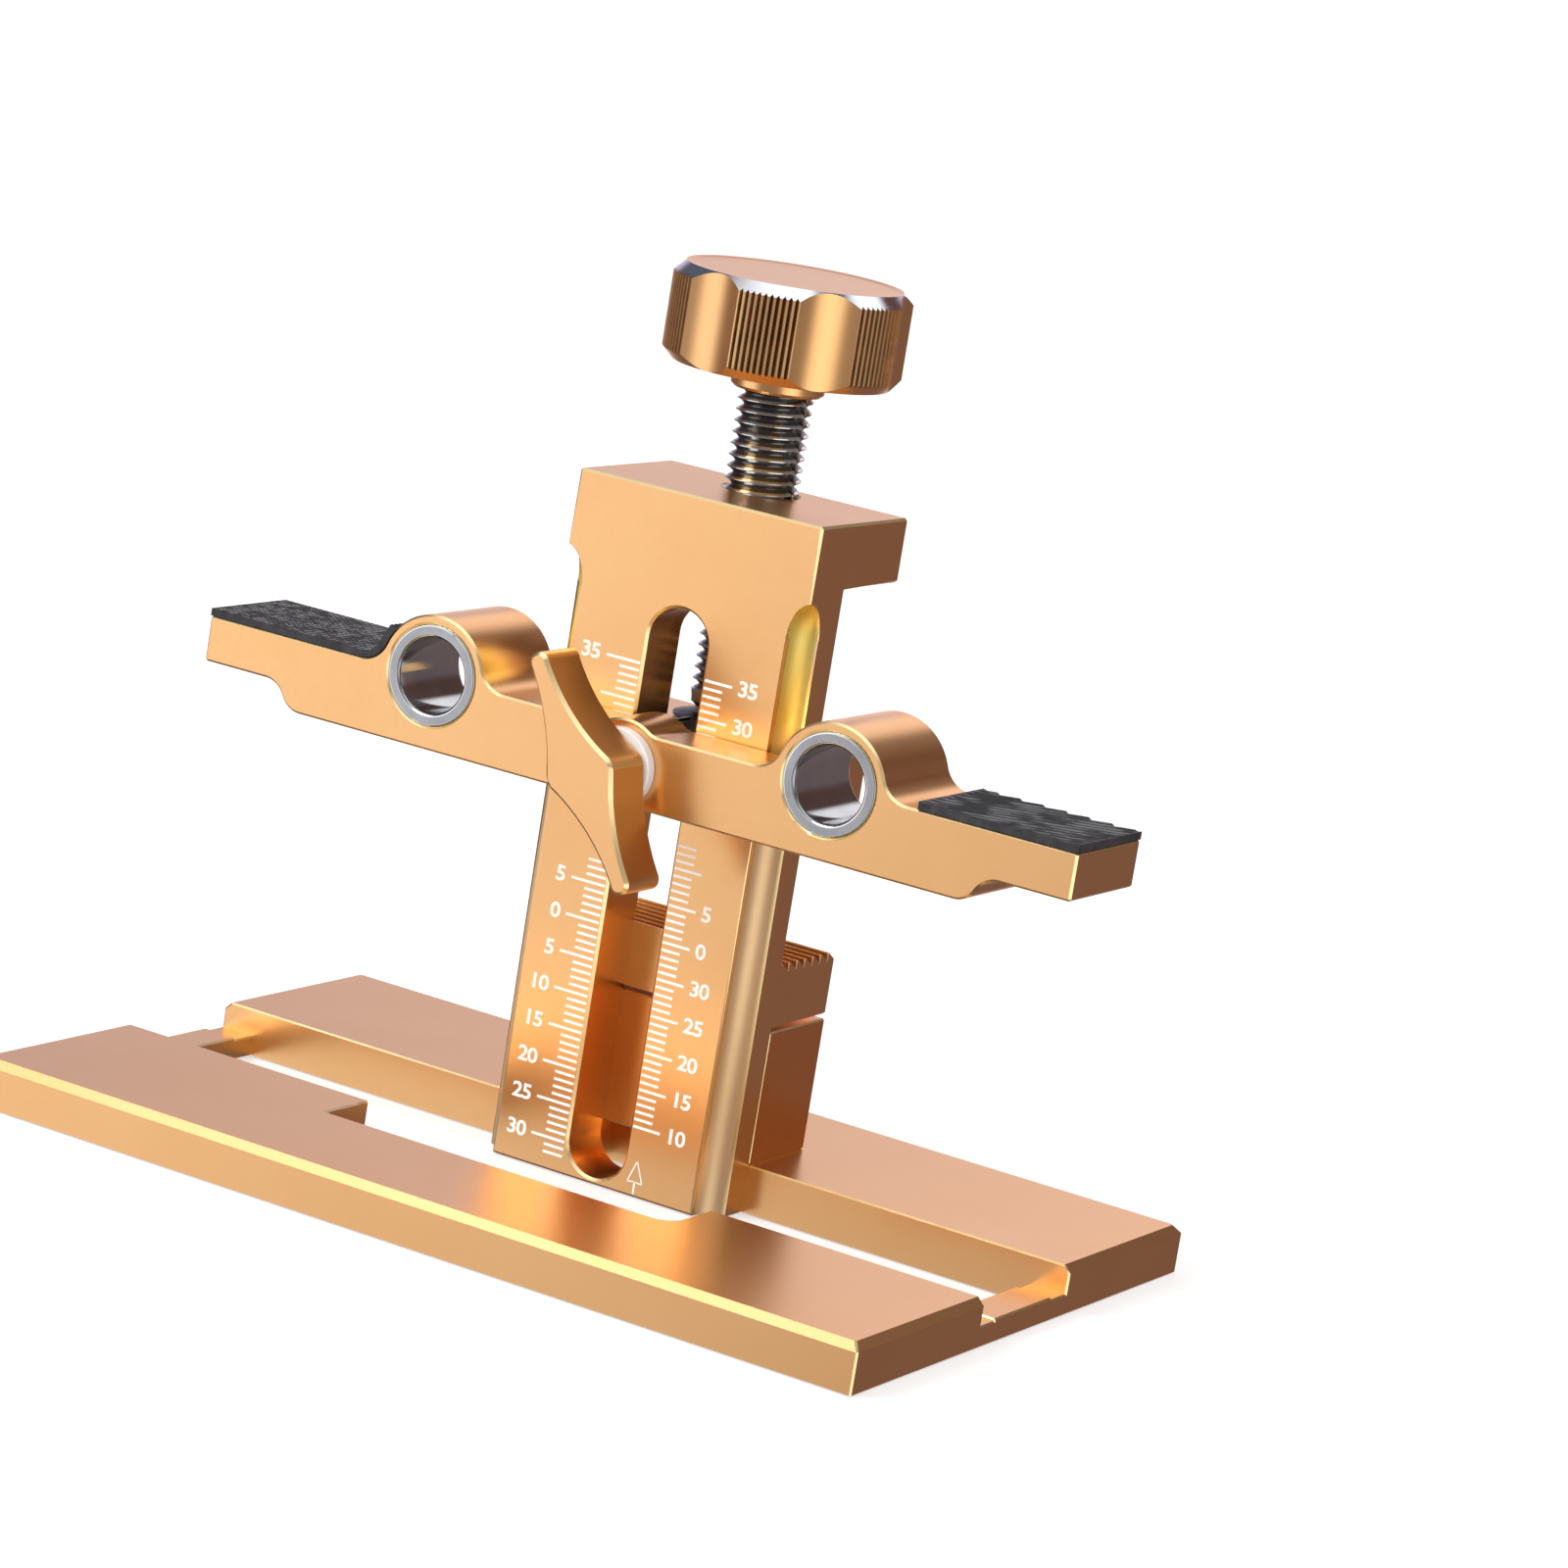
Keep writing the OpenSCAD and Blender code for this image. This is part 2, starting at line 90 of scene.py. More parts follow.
def new_material(name, base, metallic, roughness, **sockets):
    """A Principled material; base is linear RGB, and sockets are its other constant inputs."""
    mat = bpy.data.materials.new(name)
    mat.use_nodes = True
    bsdf = mat.node_tree.nodes["Principled BSDF"]
    bsdf.inputs["Base Color"].default_value = (*base, 1)
    bsdf.inputs["Metallic"].default_value = metallic
    bsdf.inputs["Roughness"].default_value = roughness
    for key, value in sockets.items():
        bsdf.inputs[key.replace("_", " ")].default_value = value
    return mat


def add_node(mat, kind, links=()):
    """Adds a node and links sockets into its named inputs."""
    node = mat.node_tree.nodes.new(kind)
    for key, socket in links:
        mat.node_tree.links.new(socket, node.inputs[key])
    return node


def coords(mat, stretch=(1, 1, 1)):
    """Object coordinates in metres, stretched along each axis."""
    where = add_node(mat, "ShaderNodeTexCoord")
    mapping = add_node(mat, "ShaderNodeMapping", [("Vector", where.outputs["Object"])])
    mapping.inputs["Scale"].default_value = stretch
    return mapping.outputs["Vector"]


def noise(mat, scale, detail=2.0, stretch=(1, 1, 1)):
    """Fine noise, scale features to the metre."""
    node = add_node(mat, "ShaderNodeTexNoise", [("Vector", coords(mat, stretch))])
    node.inputs["Scale"].default_value = scale
    node.inputs["Detail"].default_value = detail
    return node.outputs["Fac"]


def spread(mat, fac, low, high):
    """A factor near 0.5 turned into a value between low and high."""
    ramp = add_node(mat, "ShaderNodeMapRange", [("Value", fac)])
    for key, value in (("From Min", 0.3), ("From Max", 0.7), ("To Min", low), ("To Max", high)):
        ramp.inputs[key].default_value = value
    return ramp.outputs["Result"]


def tint(mat, fac, low, high):
    """Base colour between two linear colours."""
    ramp = add_node(mat, "ShaderNodeValToRGB", [("Fac", fac)])
    ramp.color_ramp.elements[0].position = 0.3
    ramp.color_ramp.elements[1].position = 0.7
    ramp.color_ramp.elements[0].color = (*low, 1)
    ramp.color_ramp.elements[1].color = (*high, 1)
    bsdf = mat.node_tree.nodes["Principled BSDF"]
    mat.node_tree.links.new(ramp.outputs["Color"], bsdf.inputs["Base Color"])


def vary_roughness(mat, fac, low, high):
    """Roughness between two values."""
    bsdf = mat.node_tree.nodes["Principled BSDF"]
    mat.node_tree.links.new(spread(mat, fac, low, high), bsdf.inputs["Roughness"])


def calc(tree, operation, *values):
    """A maths node whose inputs are sockets or numbers."""
    node = tree.nodes.new("ShaderNodeMath")
    node.operation = operation
    for socket, value in zip(node.inputs, values):
        if isinstance(value, (int, float)):
            socket.default_value = value
        else:
            tree.links.new(value, socket)
    return node.outputs[0]


def axes(mat):
    """Object coordinates in metres as separate X, Y and Z."""
    return add_node(mat, "ShaderNodeSeparateXYZ", [("Vector", coords(mat))]).outputs


def from_to(mat, value, start, stop):
    """0 where value is start or less, 1 where it is stop or more."""
    ramp = add_node(mat, "ShaderNodeMapRange", [("Value", value)])
    ramp.inputs["From Min"].default_value = start
    ramp.inputs["From Max"].default_value = stop
    return ramp.outputs["Result"]


def bump(mat, fac, height, strength=1.0):
    """Surface relief of that height in metres."""
    bsdf = mat.node_tree.nodes["Principled BSDF"]
    node = add_node(mat, "ShaderNodeBump", [("Height", fac)])
    node.inputs["Strength"].default_value = strength
    node.inputs["Distance"].default_value = height
    mat.node_tree.links.new(node.outputs["Normal"], bsdf.inputs["Normal"])


def satin_gold(name, low, high):
    """Bead-blasted and anodised aluminium: a soft satin tone and a very fine grain."""
    mat = new_material(name, low, 1.0, 0.29)
    tint(mat, noise(mat, 60), low, high)
    vary_roughness(mat, noise(mat, 1800, 3), 0.28, 0.31)
    bump(mat, noise(mat, 6500, 2), 0.000003, 0.12)
    return mat


def edge_highlight_material():
    """The same metal on the chamfers of broken edges, yellower and brighter: a painted highlight."""
    mat = new_material("gold_edge_highlight", (1.0, 0.81, 0.43), 1.0, 0.3)
    tint(mat, noise(mat, 150), (1.0, 0.80, 0.41), (1.0, 0.82, 0.45))
    vary_roughness(mat, noise(mat, 400, 2), 0.28, 0.32)
    return mat


def cove_sheen_material():
    """The coves: a paler gold low down, turning to a brighter yellow towards the top where the cutter ran
    out: a painted highlight.
    """
    mat = new_material("gold_cove_sheen", (0.98, 0.70, 0.34), 1.0, 0.5)
    # painted highlight: the gold gets brighter and yellower with height
    tint(mat, from_to(mat, axes(mat)["Z"], 0.052, 0.074), (1.0, 0.77, 0.46), (1.0, 0.88, 0.27))
    vary_roughness(mat, noise(mat, 500, 2, (1, 1, 8)), 0.48, 0.52)
    return mat


def gold_groove_material():
    """The bottoms of the knurling, where light hardly gets in."""
    mat = new_material("gold_groove", (0.34, 0.15, 0.045), 1.0, 0.4)
    tint(mat, noise(mat, 400), (0.28, 0.12, 0.035), (0.42, 0.19, 0.06))
    vary_roughness(mat, noise(mat, 900, 3), 0.34, 0.46)
    return mat


def bright_cut_material():
    """Bright-turned chamfer with fine circular tool marks."""
    mat = new_material("bright_cut", (0.80, 0.83, 0.88), 1.0, 0.12)
    tint(mat, noise(mat, 200), (0.74, 0.78, 0.84), (0.86, 0.88, 0.92))
    vary_roughness(mat, noise(mat, 900, 2, (1, 1, 6)), 0.08, 0.17)
    return mat


def steel_material(name, low, high, rough_low, rough_high, grain=(1, 1, 1)):
    """Machined steel between two linear colours, its grain stretched along the axes."""
    mat = new_material(name, low, 1.0, rough_low)
    tint(mat, noise(mat, 160), low, high)
    vary_roughness(mat, noise(mat, 900, 3, grain), rough_low, rough_high)
    bump(mat, noise(mat, 2600, 2, grain), 0.000003, 0.4)
    return mat


def rubber_material():
    """Dull black rubber with a pebbled skin."""
    mat = new_material("black_rubber", (0.022, 0.022, 0.025), 0.0, 0.6)
    tint(mat, noise(mat, 700, 4), (0.014, 0.014, 0.016), (0.036, 0.036, 0.040))
    vary_roughness(mat, noise(mat, 500, 3), 0.42, 0.68)
    bump(mat, noise(mat, 4200, 4), 0.00003, 0.6)
    return mat


def woven_rubber_material():
    """Rubber with a weave: paler threads along and across, broken up by noise."""
    mat = rubber_material()
    mat.name = "woven_rubber"
    tree, where = mat.node_tree, axes(mat)
    threads = [calc(tree, "ABSOLUTE", calc(tree, "SINE", calc(tree, "MULTIPLY", where[axis], turns)))
               for axis, turns in (("X", math.pi / WEAVE / MM), ("Y", math.pi / WEAVE / MM))]
    crest = from_to(mat, calc(tree, "MAXIMUM", *threads), 0.88, 1.0)
    pale_crest = calc(tree, "MULTIPLY", crest, from_to(mat, noise(mat, 700, 3), 0.30, 0.62))
    tint(mat, pale_crest, (0.016, 0.017, 0.019), (0.23, 0.23, 0.24))
    return mat


def ridged_rubber_material():
    """Rubber whose slanting ridges are paler along their crests, broken up by noise: a painted highlight.
    """
    mat = rubber_material()
    mat.name = "ridged_rubber"
    tree, where = mat.node_tree, axes(mat)
    along = calc(tree, "MULTIPLY", where["X"], math.sin(RIDGE_SLANT) / RIDGE_PITCH / MM)
    across = calc(tree, "MULTIPLY", where["Y"], -math.cos(RIDGE_SLANT) / RIDGE_PITCH / MM)
    phase = calc(tree, "FRACT", calc(tree, "ADD", along, across))
    crest = from_to(mat, calc(tree, "ABSOLUTE", calc(tree, "SUBTRACT", phase, RIDGE_CREST)), 0.14, 0.02)
    # painted highlight along the ridge crests, broken up by noise
    pale_crest = calc(tree, "MULTIPLY", crest, from_to(mat, noise(mat, 220, 3), 0.30, 0.66))
    tint(mat, pale_crest, (0.017, 0.017, 0.019), (0.15, 0.15, 0.16))
    return mat


def nylon_material():
    """White nylon that lets a little light through."""
    mat = new_material("white_nylon", (0.86, 0.85, 0.84), 0.0, 0.35,
                       Subsurface_Weight=0.15, Subsurface_Scale=0.001)
    tint(mat, noise(mat, 250), (0.82, 0.79, 0.81), (0.90, 0.87, 0.89))
    vary_roughness(mat, noise(mat, 800, 3), 0.28, 0.44)
    return mat


def paint_material():
    """The white fill of the engraved marks."""
    mat = new_material("white_fill", (0.95, 0.93, 0.88), 0.0, 0.5)
    tint(mat, noise(mat, 1800, 3), (0.88, 0.85, 0.78), (1.0, 0.99, 0.96))
    vary_roughness(mat, noise(mat, 2500, 3), 0.4, 0.6)
    return mat


GOLD = satin_gold("gold_anodised", (0.92, 0.555, 0.24), (0.94, 0.58, 0.26))
GOLD_RISER_SHADE = satin_gold("gold_riser_shade", (0.89, 0.41, 0.135), (0.91, 0.43, 0.15))     # the riser is given a darker, redder gold: painted shade from the slot it stands in
# edge chamfers and knurl lands get a yellower, brighter gold: painted highlight
GOLD_EDGE_HIGHLIGHT = edge_highlight_material()
GOLD_COVE_SHEEN = cove_sheen_material()
GOLD_GROOVE = gold_groove_material()
BRIGHT_CUT = bright_cut_material()
BUSHING_STEEL = steel_material("hardened_steel", (0.31, 0.34, 0.355), (0.39, 0.42, 0.435), 0.16, 0.26,
                               (1, 6, 1))
# the bushings' edge chamfers get a much brighter steel: painted highlight
BUSHING_RIM_HIGHLIGHT = steel_material("bushing_rim_highlight", (0.66, 0.70, 0.72), (0.78, 0.82, 0.84), 0.08, 0.16, (1, 6, 1))
BUSHING_BORE = steel_material("honed_bore", (0.48, 0.57, 0.59), (0.58, 0.67, 0.69), 0.08, 0.14, (1, 6, 1))
BRIGHT_STEEL = steel_material("bright_steel", (0.60, 0.61, 0.60), (0.70, 0.71, 0.70), 0.05, 0.09, (1, 1, 4))
# dark steel for one flank and the root of each thread turn: painted shade
THREAD_ROOT_SHADE = steel_material("thread_root_shade", (0.10, 0.10, 0.10), (0.16, 0.16, 0.16), 0.12, 0.20, (1, 1, 4))
BLACK_STEEL = steel_material("black_steel", (0.030, 0.030, 0.033), (0.055, 0.055, 0.060), 0.30, 0.45)
RUBBER = rubber_material()
WOVEN_RUBBER = woven_rubber_material()
RIDGED_RUBBER = ridged_rubber_material()
NYLON = nylon_material()
PAINT = paint_material()

SLOT_MATERIAL = {"gold_anodised": GOLD, "hardened_steel": BUSHING_STEEL, "bright_steel": BRIGHT_STEEL,
                 "black_steel": BLACK_STEEL, "black_rubber": RUBBER, "white_nylon": NYLON,
                 "white_fill": PAINT}


# ---------------------------------------------------------------- pieces

def body_of_node(node):
    """The body that carries a CAD node."""
    return next(b for b, members in frame["record"]["behaviour"]["bodies"].items() if node in members)


def slot_of_node(node):
    """The material slot of a CAD node."""
    return next(s["material_slot"] for s in frame["record"]["subparts"] if s["node"] == node)


def add_piece(name, mesh, body, materials, replaces=None, smooth_angle=30):
    """Links a mesh as a piece of the object that rides on a body."""
    mesh.set_sharp_from_angle(angle=math.radians(smooth_angle))
    piece = bpy.data.objects.new(name, mesh)
    bpy.context.scene.collection.objects.link(piece)
    for mat in materials:
        mesh.materials.append(mat)
    shade = piece.modifiers.new("face_weighted", "WEIGHTED_NORMAL")
    shade.keep_sharp = True
    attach(piece, body)
    if replaces:
        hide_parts(replaces)
    return piece


def mesh_from(name, verts, faces):
    """A smooth-shaded mesh from points in mm."""
    mesh = bpy.data.meshes.new(name)
    mesh.from_pydata([Vector(v) * MM for v in verts], [], faces)
    mesh.validate()
    for poly in mesh.polygons:
        poly.use_smooth = True
    return mesh


def bevel_edges(bm, width, min_angle, wanted):
    """Chamfers the outward hard edges for which wanted(middle in mm) is true, by width in mm."""
    chosen = []
    for edge in bm.edges:
        if len(edge.link_faces) == 2 and edge.is_convex \
                and edge.calc_face_angle(0) > math.radians(min_angle) \
                and wanted((edge.verts[0].co + edge.verts[1].co) / 2 / MM):
            chosen.append(edge)
    bmesh.ops.bevel(bm, geom=chosen, offset=width * MM, offset_type="OFFSET", segments=1,
                    profile=0.5, affect="EDGES", clamp_overlap=False, material=1)
    bmesh.ops.remove_doubles(bm, verts=bm.verts, dist=0.001 * MM)


def softened(node, width, edge_material=GOLD_EDGE_HIGHLIGHT, min_angle=28, crisp=None, tight=None,
             tight_width=0.12, extra=None):
    """A copy of a CAD node with its hard edges broken by width (mm), which takes the node's place.

    crisp(middle) picks edges that stay sharp, tight(middle) those that only have room for
    tight_width, and extra = (material, test(middle, normal)) gives some faces their own material.
    """
    bm = bmesh.new()
    bm.from_mesh(NODES[node].data)
    bmesh.ops.remove_doubles(bm, verts=bm.verts, dist=0.002 * MM)
    bmesh.ops.dissolve_limit(bm, angle_limit=math.radians(0.8), verts=bm.verts, edges=bm.edges)
    for face in bm.faces:
        face.smooth = True
        if extra and extra[1](face.calc_center_median() / MM, face.normal):
            face.material_index = 2

    def plain(middle):
        return not (crisp and crisp(middle) or tight and tight(middle))

    bevel_edges(bm, width, min_angle, plain)
    if tight:
        bevel_edges(bm, tight_width, min_angle, tight)
    mesh = bpy.data.meshes.new(node + "_soft")
    bm.to_mesh(mesh)
    bm.free()
    materials = [SLOT_MATERIAL[slot_of_node(node)], edge_material] + ([extra[0]] if extra else [])
    return add_piece(node + "_soft", mesh, body_of_node(node), materials,
                     replaces=node)


def polar(radius, degrees, z, centre):
    """A point at a radius and angle round a vertical axis through centre."""
    a = math.radians(degrees)
    return (centre[0] + radius * math.cos(a), centre[1] + radius * math.sin(a), z)


def lathe_grid(rings):
    """Verts and faces of rings of equal length, joined one to the next, with flat ends."""
    count = len(rings[0])
    verts = [v for ring in rings for v in ring]
    faces = []
    for j in range(len(rings) - 1):
        for i in range(count):
            a, b = j * count + i, j * count + (i + 1) % count
            faces.append((a, b, b + count, a + count))
    faces.append(tuple(reversed(range(count))))
    faces.append(tuple(range((len(rings) - 1) * count, len(rings) * count)))
    return verts, faces


# ---- clamp screw with a real thread

def thread_radius(phase, crest, root):
    """Radius of a metric thread at phase 0 to 1 of one pitch, with the crest at 0."""
    away = abs((phase + 0.5) % 1 - 0.5)           # 0 at the crest, 0.5 in the root
    crest_flat, root_flat = 0.04, 0.46
    if away < crest_flat:
        return crest
    if away > root_flat:
        return root
    return crest + (root - crest) * (away - crest_flat) / (root_flat - crest_flat)


def clamp_screw():
    """A plain neck that goes down into the foot, then a thread whose first and last turns fade."""
    pitch, crest, root, around, lead = 1.5, 5.0, 4.08, 56, 0.05
    phases = (-0.04, 0.04, 0.19, 0.46, 0.54, 0.75)
    low, high = (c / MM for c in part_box("clamp_screw"))
    disc_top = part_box("foot_disc")[1].z / MM
    axis = ((low.x + high.x) / 2, (low.y + high.y) / 2)
    thread_z0, thread_z1, fade = disc_top + 0.35, high.z, 1.2
    rings = []
    neck_r = 3.0
    for z, r in ((low.z, neck_r - 0.3), (low.z + 0.3, neck_r), (thread_z0, neck_r)):
        rings.append([polar(r, 360 * i / around, z, axis) for i in range(around)])
    turns = int((thread_z1 - thread_z0) / pitch)
    for t in range(turns):
        for phase in phases:
            ring = []
            for i in range(around):
                start = thread_z0 + (t + phase + lead) * pitch
                ramp = min(1, t, turns - 1 - t)  # the first and last turns lie flat
                z = start + ramp * pitch * i / around
                true_phase = (z - thread_z0) / pitch - lead - i / around
                depth = min(1, max(0, z - thread_z0 + 0.1) / fade)
                r = root + (thread_radius(true_phase, crest, root) - root) * depth
                ring.append(polar(r, 360 * i / around, z, axis))
            rings.append(ring)
    verts, faces = lathe_grid(rings)
    mesh = mesh_from("clamp_screw_thread", verts, faces)
    # one flank and the root of each turn take the dark steel: painted shade
    for poly in mesh.polygons:
        strip = poly.index // around - 3              # counted from the first crest upwards
        poly.material_index = 1 if strip >= 0 and strip % len(phases) in (2, 3) else 0
    add_piece("clamp_screw_thread", mesh, "screw", [BRIGHT_STEEL, THREAD_ROOT_SHADE],
              replaces="clamp_screw", smooth_angle=24)


# ---- knob with knurled ridges and finger hollows

def knob_wall(degrees, knob_r):
    """The grip's radius at an angle: fine grooves on each ridge and a round hollow between ridges."""
    hollow_at, hollow_r, groove_depth, groove_half = 24.3, 9.9, 0.34, 0.9
    off = (degrees - FIRST_HOLLOW + 30) % 60 - 30     # angle from the nearest hollow's middle
    inside = hollow_r ** 2 - (hollow_at * math.sin(math.radians(off))) ** 2
    if abs(off) < 15 and inside > 0:
        return min(knob_r, hollow_at * math.cos(math.radians(off)) - math.sqrt(inside))
    ridge = (off + 60) % 60 - 15                      # 0 to 30 across the ridge
    groove = abs((ridge + 1e-6) % 3 - 1.5)            # 0 in the bottom of a groove
    return knob_r - groove_depth * max(0.0, 1 - groove / groove_half)


def clamp_knob():
    """The grip over its collar; its top edge is chamfered and bright, and its top face is sunk a little."""
    low, high = (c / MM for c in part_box("clamp_knob"))
    screw_low, screw_high = (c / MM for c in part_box("clamp_screw"))
    axis = (0, (screw_low.y + screw_high.y) / 2)
    knob_r, collar_r, collar_h = (high.x - low.x) / 2, 6.2, 2.4
    grip_z, top, low_c, top_c = low.z + collar_h, high.z, 1.4, 1.5
    angles, wall_material = [], []                    # 0 gold, 2 groove shade, 3 land with a painted highlight
    across_hollow = 14                                # steps across a hollow
    for lobe in range(HOLLOWS):
        start = lobe * 60 + FIRST_HOLLOW - 15
        angles += [start + 30 * i / across_hollow for i in range(across_hollow)]
        wall_material += [0] * across_hollow
        for groove in range(RIDGE_GROOVES):
            angles += [start + 30 + 3 * groove + d for d in (0, 0.6, 1.5, 2.4)]
            wall_material += [3, 2, 2, 3]
    walls = [knob_wall(a, knob_r) for a in angles]

    def ring(radius_of, z_of):
        return [polar(radius_of(w), a, z_of(w), axis) for a, w in zip(angles, walls)]

    rings = [ring(lambda w: collar_r - 0.4, lambda w: low.z),
             ring(lambda w: collar_r, lambda w: low.z + 0.4),
             ring(lambda w: collar_r, lambda w: grip_z - 0.35),
             ring(lambda w: collar_r + 0.35, lambda w: grip_z),
             ring(lambda w: min(w, knob_r - low_c), lambda w: grip_z),
             ring(lambda w: w, lambda w: grip_z + low_c - (knob_r - w)),
             ring(lambda w: w, lambda w: top - top_c + (knob_r - w)),
             ring(lambda w: min(w, knob_r - top_c), lambda w: top),
             ring(lambda w: knob_r - top_c - 0.5, lambda w: top),
             ring(lambda w: knob_r - top_c - 0.9, lambda w: top - 0.12)]
    verts, faces = lathe_grid(rings)
    mesh = mesh_from("clamp_knob_grip", verts, faces)
    count, wall_ring, chamfer_ring = len(angles), 5, 6
    for i in range(count):
        mesh.polygons[count * wall_ring + i].material_index = wall_material[i]
        mesh.polygons[count * chamfer_ring + i].material_index = 1   # bright-turned
    add_piece("clamp_knob_grip", mesh, "screw",
              [GOLD, BRIGHT_CUT, GOLD_GROOVE, GOLD_EDGE_HIGHLIGHT], replaces="clamp_knob", smooth_angle=22)


# ---- rubber pads

def pad_mesh(name, path, y0, y1, rows, height):
    """A strip of rubber: path is (point, outward normal) pairs in XZ, height(s, y) its thickness."""
    verts, faces = [], []
    ys = [y0 + (y1 - y0) * j / rows for j in range(rows + 1)]
    length = 0.0
    for i, (p, n) in enumerate(path):
        length += math.dist(p, path[i - 1][0]) if i else 0
        for y in ys:
            t = height(length, y)
            verts.append((p[0] + n[0] * t, y, p[1] + n[1] * t))
    under, wide, last = len(verts), rows + 1, len(path) - 1
    for p, _ in path:
        verts += [(p[0], y0, p[1]), (p[0], y1, p[1])]
    for i in range(last):
        for j in range(rows):
            a = i * wide + j
            faces.append((a, a + wide, a + wide + 1, a + 1))
    worked = len(faces)
    for i in range(last):
        u, a, b = under + 2 * i, i * wide, i * wide + rows
        faces += [(u, u + 1, u + 3, u + 2), (a, u, u + 2, a + wide), (b, b + wide, u + 3, u + 1)]
    end, low = last * wide, under + 2 * last
    faces += [tuple(range(wide)) + (under + 1, under),
              tuple(reversed(range(end, end + wide))) + (low, low + 1)]
    mesh = mesh_from(name, verts, faces)
    for poly in mesh.polygons:
        poly.material_index = 0 if poly.index < worked else 1
    return mesh


def left_pad():
    """Thin pad with a fine square weave, laid flat and then up the fillet beside the boss."""
    low, high = (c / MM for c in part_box("left_pad"))
    bush_low, bush_high = (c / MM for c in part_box("left_bushing"))
    bush = ((bush_low.x + bush_high.x) / 2, (bush_low.z + bush_high.z) / 2)
    fillet, boss, step, thick, wrap = 4.0, 8.0, WEAVE / 6, 1.0, 16
    side = math.sqrt((boss + fillet) ** 2 - fillet ** 2)
    lean = math.degrees(math.asin(fillet / (boss + fillet)))
    flat_end = bush[0] - side
    count = int((flat_end - low.x) / step)
    path = [((low.x + (flat_end - low.x) * i / count, low.z), (0, 1)) for i in range(count)]
    for i in range(40):
        a = math.radians(-90 + (90 - lean) * i / 40)
        path.append(((flat_end + fillet * math.cos(a), low.z + fillet + fillet * math.sin(a)),
                     (-math.cos(a), -math.sin(a))))
    for i in range(17):
        a = math.radians(180 - lean - wrap * i / 16)
        path.append(((bush[0] + boss * math.cos(a), bush[1] + boss * math.sin(a)),
                     (math.cos(a), math.sin(a))))

    def height(s, y):
        thread = max(abs(math.sin(math.pi * (low.x + s) / WEAVE)), abs(math.sin(math.pi * y / WEAVE)))
        return thick - 0.14 + 0.14 * thread ** 4

    mesh = pad_mesh("left_pad_weave", path, low.y, high.y, int((high.y - low.y) / step), height)
    add_piece("left_pad_weave", mesh, "bar", [WOVEN_RUBBER, RUBBER],
              replaces="left_pad", smooth_angle=50)


def right_pad():
    """Pad with slanting stepped ridges that die out before its front and its ends."""
    low, high = (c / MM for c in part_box("right_pad"))
    relief, step, margin = 0.45, 0.12, 1.3
    count = int((high.x - low.x) / step)
    path = [((low.x + (high.x - low.x) * i / count, low.z), (0, 1)) for i in range(count + 1)]

    def height(s, y):
        phase = ((low.x + s) * math.sin(RIDGE_SLANT) - y * math.cos(RIDGE_SLANT)) / RIDGE_PITCH % 1
        ridge = min(phase / RIDGE_CREST, (1 - phase) / (1 - RIDGE_CREST))
        inner = min(1, (y - low.y) / margin, s / margin, (high.x - low.x - s) / margin)
        return high.z - low.z - relief * max(0, inner) * (1 - ridge)

    mesh = pad_mesh("right_pad_ridges", path, low.y, high.y, int((high.y - low.y) / step), height)
    add_piece("right_pad_ridges", mesh, "bar", [RIDGED_RUBBER, RUBBER],
              replaces="right_pad", smooth_angle=50)


# ---- engraved scales

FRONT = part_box("column")[0].y / MM                    # the column's front face
MARK_DEPTH, MARK_PROUD = 0.1, 0.02


def stroke(bm, p, q, width):
    """A straight mark on the column's front from p to q, given as (x, z)."""
    p, q = Vector(p), Vector(q)
    side = Vector((p.y - q.y, q.x - p.x)).normalized() * width / 2
    corners = (p + side, p - side, q - side, q + side)
    made = [bm.verts.new(Vector((c.x, y, c.y)) * MM)
            for y in (FRONT - MARK_PROUD, FRONT + MARK_DEPTH) for c in corners]
    for face in ((0, 1, 2, 3), (7, 6, 5, 4), (0, 4, 5, 1), (1, 5, 6, 2), (2, 6, 7, 3), (3, 7, 4, 0)):
        bm.faces.new([made[i] for i in face])


def numeral(bm, text, x, z, align):
    """A number on the column's front, upright, with its middle at height z."""
    curve = bpy.data.curves.new("numeral", "FONT")
    curve.body = text
    curve.size = 2.85 * MM
    curve.align_x = align
    curve.align_y = "CENTER"
    curve.offset = 0.06 * MM
    curve.extrude = (MARK_DEPTH + MARK_PROUD) / 2 * MM
    curve.resolution_u = 3
    curve.space_character = 0.92
    holder = bpy.data.objects.new("numeral", curve)
    bpy.context.scene.collection.objects.link(holder)
    mesh = bpy.data.meshes.new_from_object(holder.evaluated_get(bpy.context.evaluated_depsgraph_get()))
    middle = FRONT + (MARK_DEPTH - MARK_PROUD) / 2
    mesh.transform(Matrix.Translation(Vector((x, middle, z)) * MM) @ Matrix.Rotation(math.pi / 2, 4, "X")
                   @ Matrix.Diagonal((1.13, 1, 1, 1)))
    bm.from_mesh(mesh)
    bpy.data.objects.remove(holder)
    bpy.data.curves.remove(curve)
    bpy.data.meshes.remove(mesh)


